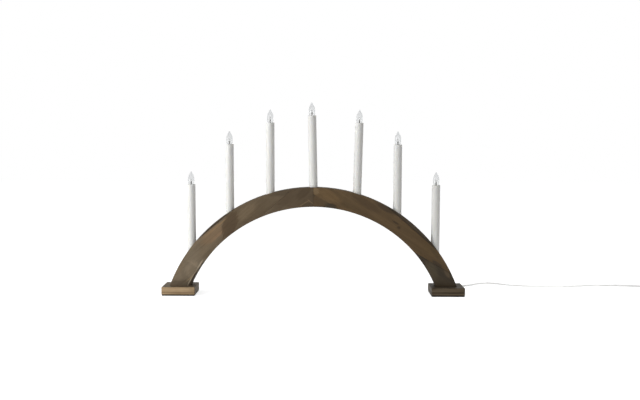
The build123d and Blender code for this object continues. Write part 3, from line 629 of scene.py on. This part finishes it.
# Right of the outlet, behind the foot, height
CORD_ROUTE = (
    (0, RELIEF_OUT, OUTLET_Z),
    (0, 0.020, OUTLET_Z),
    (0.0045, 0.031, 0.0066),
    (0.014, 0.0415, 0.0042),
    (0.030, 0.053, 0.0025),
    (0.047, 0.0675, FLOOR_Z),
    (0.0655, 0.0825, FLOOR_Z),
    (0.089, 0.0905, FLOOR_Z),
    (0.111, 0.0815, FLOOR_Z),
    (0.132, 0.067, FLOOR_Z),
    (0.166, 0.056, FLOOR_Z),
    (0.214, 0.050, FLOOR_Z),
    (0.274, 0.056, FLOOR_Z),
    (0.334, 0.067, FLOOR_Z),
    (0.390, 0.068, FLOOR_Z),
    (0.441, 0.054, FLOOR_Z),
    (0.483, 0.036, COIL_Z),
)


def coil_half_turns():
    """Radius and rise of each half turn: inwards below, then outwards on the layer above."""
    inner_r = COIL_R - TURNS_IN * COIL_PITCH / 2
    for k in range(TURNS_IN):
        yield COIL_R - k * COIL_PITCH / 2, 0.0
    yield inner_r, LAYER_STEP
    for k in range(TURNS_OUT):
        yield inner_r + (k + 1) * COIL_PITCH / 2, 0.0


def cord_points():
    points = [
        Vector((OUTLET_X + right, BACK_Y + back, height)) for right, back, height in CORD_ROUTE
    ]
    place = Vector((COIL_X, COIL_Y - COIL_R, COIL_Z))
    points += [Vector((COIL_X - CORD_D, COIL_Y - COIL_R, COIL_Z)), place]
    way = 1
    # a line through points on a circle runs a little inside it
    swell = 1 / math.cos(math.pi / HALF_TURN_POINTS / 2)
    for radius, rise in coil_half_turns():
        middle = place + Vector((0, way * radius, 0))
        for k in range(1, HALF_TURN_POINTS + 1):
            share = k / HALF_TURN_POINTS
            turn = math.pi * share
            reach = Vector((way * radius * math.sin(turn), -way * radius * math.cos(turn), 0))
            points.append(middle + reach * swell + Vector((0, 0, rise * share)))
        place = middle + Vector((0, way * radius, rise))
        way = -way
    plug_end = Vector((COIL_X + TAIL_LENGTH, place.y, PLUG_Z))
    points += [place + Vector((TAIL_LEVEL, 0, 0)), plug_end - Vector((TAIL_LEVEL, 0, 0)), plug_end]
    return points


# Strain relief: flange and sheath in the foot, then a tapered nose with flexing grooves
FLANGE_R = 0.0042
NOSE_R = 0.00375
NOSE_TIP_R = 0.0030
RELIEF_PROFILE = (
    (0.0020, -0.0130),
    (CORD_D / 2, -0.0128),
    (CORD_D / 2, -0.0055),
    (FLANGE_R, -0.0055),
    (FLANGE_R, -0.0040),
    (NOSE_R, -0.0040),
    (NOSE_R, 0.0004),
)
NOSE_END = ((0.0031, 0.0095), (0.0029, 0.0099), (0.0024, RELIEF_OUT))
GROOVE_DEPTH = 0.0005
GROOVE_FLOOR = (0.0002, 0.0008)
GROOVE_WIDTH = 0.0010
GROOVE_LIP = 0.00005


def grooves(count, first, step, begin, end, length):
    """Flexing grooves in a nose whose radius runs from begin to end over its length."""
    profile = []
    for k in range(count):
        start = first + k * step
        radius = begin + (end - begin) * start / length
        profile += [
            (radius, start),
            (radius - GROOVE_DEPTH, start + GROOVE_FLOOR[0]),
            (radius - GROOVE_DEPTH, start + GROOVE_FLOOR[1]),
            (radius - GROOVE_LIP, start + GROOVE_WIDTH),
        ]
    return profile


def make_relief():
    nose = grooves(
        count=4, first=0.0008, step=0.0021, begin=NOSE_R, end=NOSE_TIP_R, length=RELIEF_OUT
    )
    profile = [*RELIEF_PROFILE, *nose, *NOSE_END]
    data = bmesh.new()
    back = Matrix.Rotation(math.radians(-90), 4, "X")
    place = Matrix.Translation((OUTLET_X, BACK_Y, OUTLET_Z))
    add_lathe(data, profile, sides=40, place=place @ back)
    relief = link_mesh("lead_relief", data, cord_vinyl, "arch")
    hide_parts("cord_relief")
    shade_by_angle(relief)
    return relief


# Plug: a grooved boot round the end of the cord, insulated collars on the pins and ridges to grip
BOOT_LENGTH = 0.018
BOOT_THIN_R = 0.0028
BOOT_THICK_R = 0.0045
BOOT_IN = 0.0025
COLLAR_PROFILE = (
    (PIN_R - 0.0001, -0.0010),
    (PIN_R + 0.00006, -0.0009),
    (PIN_R + 0.00006, 0.0098),
    (PIN_R - 0.0001, 0.0100),
)
RIDGE_SHARES = (0.28, 0.40, 0.52, 0.64, 0.76)
RIDGE_PROFILE = (
    (0.00015, 0.0030),
    (0.0004, 0.0031),
    (0.0006, 0.0036),
    (0.0006, 0.0104),
    (0.0004, 0.0109),
    (0.00015, 0.0110),
)


def back_along(line, distance):
    """The point of a line that lies a distance back from its end, or beyond it if negative."""
    for near, far in zip(reversed(line), reversed(line[:-1])):
        step = (near - far).length
        if distance <= step:
            break
        distance -= step
    return near + (far - near) * (distance / step)


def make_boot(line):
    body = grooves(
        count=5,
        first=0.0022,
        step=0.0029,
        begin=BOOT_THIN_R,
        end=BOOT_THICK_R,
        length=BOOT_LENGTH,
    )
    profile = [
        (CORD_D / 2, 0.0),
        (BOOT_THIN_R, 0.0004),
        *body,
        (BOOT_THICK_R, BOOT_LENGTH),
        (BOOT_THICK_R, BOOT_LENGTH + BOOT_IN),
    ]
    data = bmesh.new()
    points = [back_along(line, BOOT_LENGTH - reach) for _, reach in profile]
    add_tube(data, points, [radius for radius, _ in profile], sides=32)
    boot = link_mesh("plug_boot", data, plug_plastic, "arch")
    shade_by_angle(boot)
    return boot


def make_collars(plug_end):
    data = bmesh.new()
    ahead = Matrix.Rotation(math.radians(90), 4, "Y")
    for side in (-1, 1):
        place = Matrix.Translation(plug_end + Vector((PLUG_LENGTH, side * PIN_Y, 0)))
        add_lathe(data, COLLAR_PROFILE, sides=28, place=place @ ahead)
    collars = link_mesh("pin_collars", data, plug_plastic, "arch")
    shade_by_angle(collars)
    return collars


def make_grips(plug_end):
    data = bmesh.new()
    for side in (-1, 1):
        for share in RIDGE_SHARES:
            spot = PLUG_TAIL.lerp(PLUG_SHOULDER, share)
            foot = Vector((plug_end.x + spot.x, plug_end.y + side * spot.y, 0))
            add_lathe(data, RIDGE_PROFILE, sides=16, place=Matrix.Translation(foot))
    return link_mesh("plug_grips", data, plug_plastic, "arch")


def make_cord():
    curve = bpy.data.curves.new("mains_lead", "CURVE")
    curve.dimensions = "3D"
    curve.resolution_u = CORD_CURVE_STEPS
    points = cord_points()
    spline = curve.splines.new("NURBS")
    spline.points.add(len(points) - 1)
    for point, place in zip(spline.points, points):
        point.co = (*place, 1)
    spline.order_u = 3
    spline.use_endpoint_u = True
    curve.materials.append(cord_vinyl)
    cord = bpy.data.objects.new("mains_lead", curve)
    scene.collection.objects.link(cord)
    route = bpy.data.meshes.new_from_object(cord)
    line = [vert.co.copy() for vert in route.vertices]
    bpy.data.meshes.remove(route)
    curve.bevel_depth = CORD_D / 2
    curve.bevel_resolution = CORD_ROUND_STEPS
    curve.use_fill_caps = True
    plug = [make_boot(line), make_collars(points[-1]), make_grips(points[-1])]
    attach(cord, "arch")
    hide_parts("mains_cord", "cord_coil")
    relief = make_relief()


make_cord()

# Finishes of the CAD nodes
for half in ("left", "right"):
    dress(f"foot_{half}", wood[f"foot_{half}"])
dress("wire_cover", wood["cover"])
dress("crown_dowels", wood["dowel"])
dress("cover_screws", steel)
dress("foot_screws", steel)
dress("lamp_holders", holder_plastic)
dress("screw_shells", brass)
dress("wiring", wire_insulation)
dress("cord_clamp", holder_plastic)
dress("cord_tie", tie_plastic)
dress("plug_body", plug_plastic)
dress("plug_pins", pin_metal)
for i in range(1, CANDLES + 1):
    dress(f"candle_sleeve_{i}", sleeve_plastic)
    dress(f"centre_contact_{i}", contact_brass)
    dress(f"lamp_glass_{i}", bulb_glass)
    dress(f"lamp_cap_{i}", brass)

# Bow: each stave with its long arrises eased, as sanded wood has them
ARRIS_R = 0.0008
ON_ARC = 0.00002
ARRIS_ANGLE = math.radians(60)
WELD = 1e-6
FLAT_ANGLE = math.radians(0.3)


def on_arris(edge):
    """True for an edge between the bow's front or rear face and its outer or inner arc."""
    if len(edge.link_faces) != 2 or edge.calc_face_angle(0) < ARRIS_ANGLE:
        return False
    for vert in edge.verts:
        reach = math.hypot(vert.co.x, vert.co.z - ARC_CENTRE_Z)
        off_arc = min(abs(reach - ARCH_OUTER_R), abs(reach - ARCH_INNER_R))
        if off_arc > ON_ARC or abs(abs(vert.co.y) - ARCH_HALF_DEPTH) > ON_ARC:
            return False
    return True


def make_stave(half, layer):
    node = f"arch_{half}_{layer}_stave"
    data = bmesh.new()
    data.from_mesh(nodes[node].data)
    bmesh.ops.remove_doubles(data, verts=data.verts, dist=WELD)
    bmesh.ops.dissolve_limit(
        data, angle_limit=FLAT_ANGLE, verts=data.verts, edges=data.edges
    )
    arrises = [edge for edge in data.edges if on_arris(edge)]
    bmesh.ops.bevel(
        data,
        geom=arrises,
        offset=ARRIS_R,
        offset_type="OFFSET",
        segments=3,
        profile=0.5,
        affect="EDGES",
        clamp_overlap=False,
    )
    bmesh.ops.triangulate(data, faces=[face for face in data.faces if len(face.verts) > 4])
    stave = link_mesh(f"bow_{half}_{layer}", data, wood[f"{half}_{layer}"], "arch")
    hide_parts(node)
    shade_by_angle(stave)


for half in ("left", "right"):
    for layer in ("inner", "main", "outer"):
        make_stave(half, layer)


# Lamp mounts: a pressed glass stem, two lead wires and the coiled filament between their hooks
STEM_PROFILE = (
    (0.0026, -0.0091),
    (0.0028, -0.0085),
    (0.0022, -0.0070),
    (0.0014, -0.0050),
    (0.0012, -0.0010),
    (0.0013, 0.0035),
    (0.0013, 0.0058),
    (0.0009, 0.0067),
    (0.0003, 0.0069),
)
LEAD_X = 0.0010
LEAD_TOP = 0.0100
LEAD_R = 0.00016
# Share of the leads' distance from the axis, height
LEAD_PATH = (
    (1.0, 0.0030),
    (1.0, 0.0060),
    (1.12, 0.0090),
    (1.05, LEAD_TOP),
    (0.80, LEAD_TOP + 0.0004),
)
FILAMENT_TOP = 0.0114
FILAMENT_TURNS = 14
FILAMENT_COIL_R = 0.00028
FILAMENT_WIRE_R = 0.00009
TURN_POINTS = 8
STEM_MATERIAL = 1


def filament_points():
    """A fine helix along an arch from one lead's hook to the other's."""
    count = FILAMENT_TURNS * TURN_POINTS
    points = []
    for k in range(count + 1):
        share = k / count
        bow = math.pi * share
        height = LEAD_TOP + (FILAMENT_TOP - LEAD_TOP) * math.sin(bow)
        middle = Vector((-LEAD_X * math.cos(bow), 0, height))
        turn = 2 * math.pi * FILAMENT_TURNS * share
        out = Vector((math.cos(bow), 0, -math.sin(bow)))
        spoke = out * math.cos(turn) + Vector((0, 1, 0)) * math.sin(turn)
        points.append(middle + FILAMENT_COIL_R * spoke)
    return points


def make_mount(i):
    joint = next(j for j in frame["joints"] if j["name"] == f"lamp_{i}_turn")
    data = bmesh.new()
    add_lathe(data, STEM_PROFILE, sides=20, material_index=STEM_MATERIAL)
    for side in (-1, 1):
        lead = [Vector((side * LEAD_X * share, 0, height)) for share, height in LEAD_PATH]
        add_tube(data, lead, [LEAD_R] * len(lead))
    coil = filament_points()
    add_tube(data, coil, [FILAMENT_WIRE_R] * len(coil), sides=5)
    tilt = Vector((0, 0, 1)).rotation_difference(Vector(joint["axis"])).to_matrix().to_4x4()
    bmesh.ops.transform(data, matrix=Matrix.Translation(joint["pos_m"]) @ tilt, verts=data.verts)
    mount = link_mesh(f"lamp_mount_{i}", data, filament_metal, f"lamp_{i}")
    mount.data.materials.append(stem_glass)
    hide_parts(f"lamp_filament_{i}")


for i in range(1, CANDLES + 1):
    make_mount(i)

# Felt pads: soft rounded edges, slightly swollen sides and loose fibres
# Height, swelling of the side
PAD_LEVELS = (
    (0.0, -0.0007),
    (0.0002, -0.0002),
    (0.0009, 0.0001),
    (0.0018, 0.00022),
    (0.0027, 0.0001),
    (0.0033, -0.0001),
    (0.0035, -0.0005),
)
PAD_CORNER_R = 0.0016
PAD_CORNER_STEPS = 4
PAD_STEP = 0.0012
FUZZ_DEPTH = 0.00022
FUZZ_SCALE = 1400.0
FINE_FUZZ_SCALE = 3300.0
FINE_FUZZ_SHARE = 0.6


def pad_outline(low, high):
    """Points and outward directions round a rectangle with rounded corners."""
    points = []
    inner_low = Vector((low.x + PAD_CORNER_R, low.y + PAD_CORNER_R))
    inner_high = Vector((high.x - PAD_CORNER_R, high.y - PAD_CORNER_R))
    corners = (
        (inner_high.x, inner_high.y, 0),
        (inner_low.x, inner_high.y, 90),
        (inner_low.x, inner_low.y, 180),
        (inner_high.x, inner_low.y, 270),
    )
    for k, (x, y, start) in enumerate(corners):
        for step in range(PAD_CORNER_STEPS + 1):
            turn = math.radians(start + 90 * step / PAD_CORNER_STEPS)
            out = Vector((math.cos(turn), math.sin(turn)))
            points.append((Vector((x, y)) + out * PAD_CORNER_R, out))
        next_x, next_y, _ = corners[(k + 1) % len(corners)]
        run = Vector((next_x - x, next_y - y))
        count = int(run.length / PAD_STEP)
        begin, out = points[-1]
        points += [(begin + run * (n / count), out) for n in range(1, count)]
    return points


def make_pad(half):
    node = f"foot_pad_{half}"
    low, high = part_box(node)
    data = bmesh.new()
    rings = []
    for height, swell in PAD_LEVELS:
        ring = []
        for place, out in pad_outline(low, high):
            spot = Vector((place.x, place.y, height))
            fine = FINE_FUZZ_SHARE * value_noise.noise(spot * FINE_FUZZ_SCALE)
            fuzz = value_noise.noise(spot * FUZZ_SCALE) + fine
            moved = place + out * (swell + fuzz * FUZZ_DEPTH)
            ring.append(data.verts.new((moved.x, moved.y, height)))
        rings.append(ring)
    join_rings(data, rings)
    pad = link_mesh(f"felt_{half}", data, felt, "arch")
    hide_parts(node)


for half in ("left", "right"):
    make_pad(half)


# Stage: a white floor that keeps the object's shadow, white surroundings and soft lights
AMBIENT = 0.32
AMBIENT_SWAY = 0.25
FLOOR_HALF = 4.0
FLOOR_WHITE = (0.9, 0.9, 0.9, 1)
FLOOR_GLOW = 0.74
SPOT_BLEND = 0.6
SPOT_SOFTNESS = 0.12


def seen_directly(tree):
    """1 for what the camera sees, also in metal or through glass."""
    path = add(tree, "ShaderNodeLightPath").outputs
    either = math_node(tree, "MAXIMUM", path["Is Camera Ray"], path["Is Glossy Ray"])
    return math_node(tree, "MAXIMUM", either, path["Is Transmission Ray"])


def make_world():
    """White where it is seen; as a light dimmer, and brighter from the left."""
    world = bpy.data.worlds.new("studio")
    world.use_nodes = True
    scene.world = world
    tree = world.node_tree
    background = tree.nodes["Background"]
    background.inputs["Color"].default_value = (1, 1, 1, 1)
    direction = add(tree, "ShaderNodeSeparateXYZ")
    tree.links.new(add(tree, "ShaderNodeTexCoord").outputs["Generated"], direction.inputs[0])
    from_left, from_right = AMBIENT + AMBIENT_SWAY, AMBIENT - AMBIENT_SWAY
    ambient = spread(tree, direction.outputs["X"], -1.0, 1.0, from_left, from_right)
    seen = seen_directly(tree)
    unseen = math_node(tree, "SUBTRACT", 1.0, seen)
    strength = math_node(tree, "ADD", seen, math_node(tree, "MULTIPLY", unseen, ambient))
    tree.links.new(strength, background.inputs["Strength"])


def make_floor():
    data = bmesh.new()
    bmesh.ops.create_grid(data, x_segments=4, y_segments=4, size=FLOOR_HALF)
    mesh = bpy.data.meshes.new("floor")
    data.to_mesh(mesh)
    data.free()
    floor = bpy.data.objects.new("floor", mesh)
    scene.collection.objects.link(floor)
    material, tree, shader = new_material("floor_white")
    tree.nodes.remove(shader)
    diffuse = add(tree, "ShaderNodeBsdfDiffuse")
    diffuse.inputs["Color"].default_value = FLOOR_WHITE
    glow = add(tree, "ShaderNodeEmission")
    shine = math_node(tree, "MULTIPLY", seen_directly(tree), FLOOR_GLOW)
    tree.links.new(shine, glow.inputs["Strength"])
    both = add(tree, "ShaderNodeAddShader")
    tree.links.new(diffuse.outputs[0], both.inputs[0])
    tree.links.new(glow.outputs[0], both.inputs[1])
    tree.links.new(both.outputs[0], tree.nodes["Material Output"].inputs["Surface"])
    mesh.materials.append(material)


def link_light(data, place, target):
    light = bpy.data.objects.new(data.name, data)
    scene.collection.objects.link(light)
    light.location = place
    light.rotation_euler = (Vector(target) - Vector(place)).to_track_quat("-Z", "Y").to_euler()


def make_area(name, place, target, size, power):
    data = bpy.data.lights.new(name, "AREA")
    data.shape = "RECTANGLE"
    data.size, data.size_y = size
    data.energy = power
    link_light(data, place, target)


def make_spot(name, place, target, cone, power):
    data = bpy.data.lights.new(name, "SPOT")
    data.energy = power
    data.spot_size = math.radians(cone)
    data.spot_blend = SPOT_BLEND
    data.shadow_soft_size = SPOT_SOFTNESS
    link_light(data, place, target)


make_world()
make_floor()
make_area("key", (-1.15, -0.50, 0.50), target=(-0.1, 0, 0.2), size=(0.6, 0.9), power=7.7)
make_spot("cord_light", (0.72, -0.22, 0.45), target=(0.47, 0.09, 0.0), cone=40.0, power=7.0)
make_spot("coil_light", (1.00, -0.26, 0.50), target=(0.84, 0.09, 0.0), cone=50.0, power=4.5)
make_area("front_fill", (0.15, -2.4, 0.9), target=(0, 0, 0.2), size=(1.4, 1.0), power=7.5)
